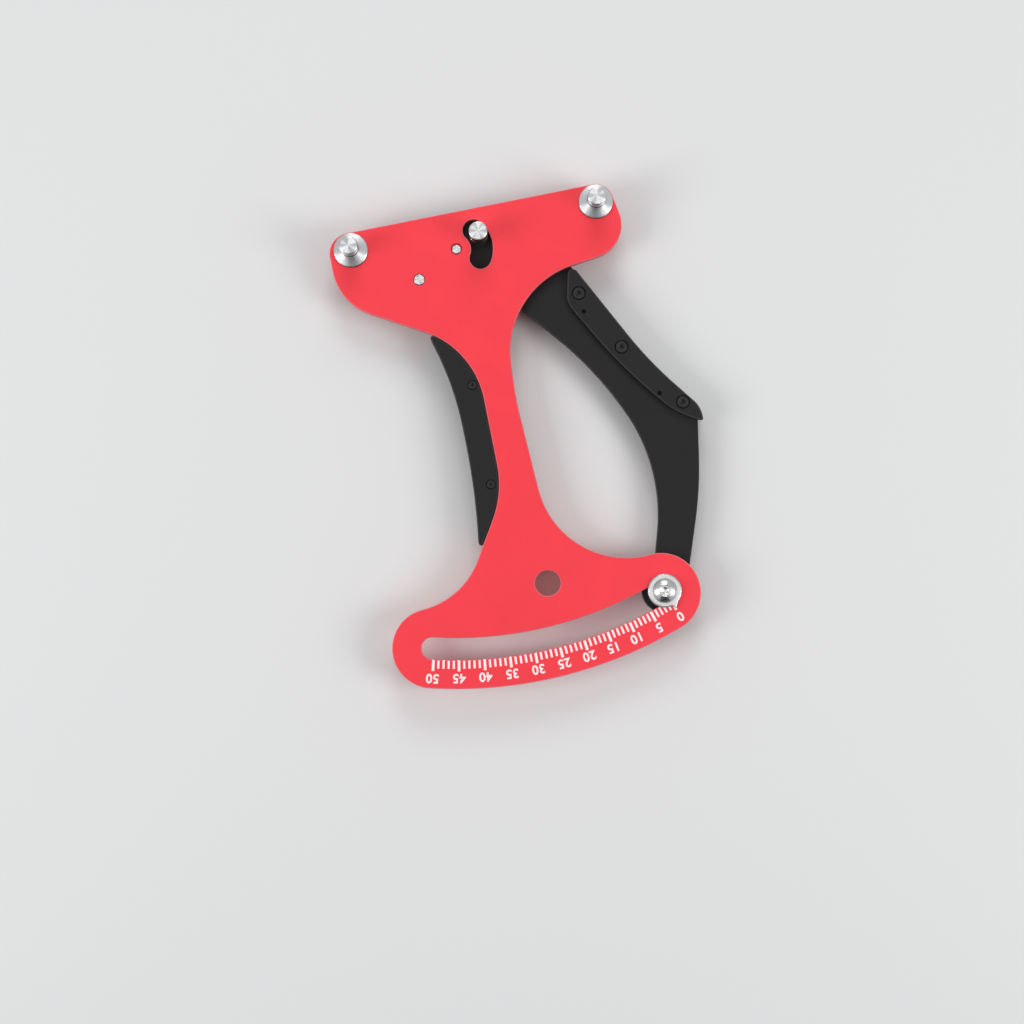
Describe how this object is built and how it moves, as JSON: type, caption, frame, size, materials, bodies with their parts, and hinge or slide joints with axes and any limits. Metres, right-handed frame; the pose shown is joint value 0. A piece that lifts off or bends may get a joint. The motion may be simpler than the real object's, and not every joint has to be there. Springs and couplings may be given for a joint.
{
  "type": "spoke tension meter",
  "caption": "Hand-squeezed spoke tension meter: waisted flat plate with fixed posts, a sprung lever that carries a moving post and a pointer, grips, and a curved scale slot.",
  "frame": {"origin": "centre of the hanging hole at the plate's back face", "axes": "+Z out of the plate's front face, towards the reader of the scale; +Y from the hanging hole towards the line of the fixed posts; +X to the lever's side"},
  "size_m": [0.1506, 0.2051, 0.0325],
  "materials": {
    "plate_red": "satin red anodised",
    "lever_black": "satin black anodised",
    "grip_black": "fine textured black plastic",
    "turned_steel": "bright turned steel",
    "bright_steel": "bright zinc plated steel",
    "screw_black": "black oxide steel",
    "spring_steel": "drawn spring wire",
    "bronze": "sintered bronze",
    "slide_nylon": "black nylon"
  },
  "bodies": {
    "plate": {"front_plate": "plate_red", "left_post": "turned_steel", "right_post": "turned_steel", "left_post_screw": "screw_black", "right_post_screw": "screw_black", "spring_anchor_stud": "turned_steel", "pivot_pin": "turned_steel", "pivot_front_washer": "bronze", "pivot_rear_washer": "bronze", "pivot_clip": "spring_steel", "plate_grip_front": "grip_black", "plate_grip_rear": "grip_black", "plate_grip_screw_upper": "screw_black", "plate_grip_screw_lower": "screw_black", "return_spring": "spring_steel"},
    "lever": {"lever_arm": "lever_black", "moving_post": "turned_steel", "moving_post_screw": "screw_black", "pointer_sleeve": "bronze", "slide_washer": "slide_nylon", "pointer_washer": "bright_steel", "scale_pointer": "bright_steel", "pointer_screw": "bright_steel", "pointer_nut": "bright_steel", "lever_spring_stud": "turned_steel", "lever_grip_front": "grip_black", "lever_grip_rear": "grip_black", "lever_grip_screw_upper": "screw_black", "lever_grip_screw_middle": "screw_black", "lever_grip_screw_lower": "screw_black"}
  },
  "joints": [
    {"name": "lever_swing", "type": "hinge", "parent": "plate", "child": "lever", "pos_m": [-0.0104, 0.1487, -0.003], "axis": [0, 0, -1], "range_deg": [0, 34.4], "stiffness_Nm_per_rad": 0.05, "springref_deg": -42.97, "deforming": ["return_spring"]}
  ]
}
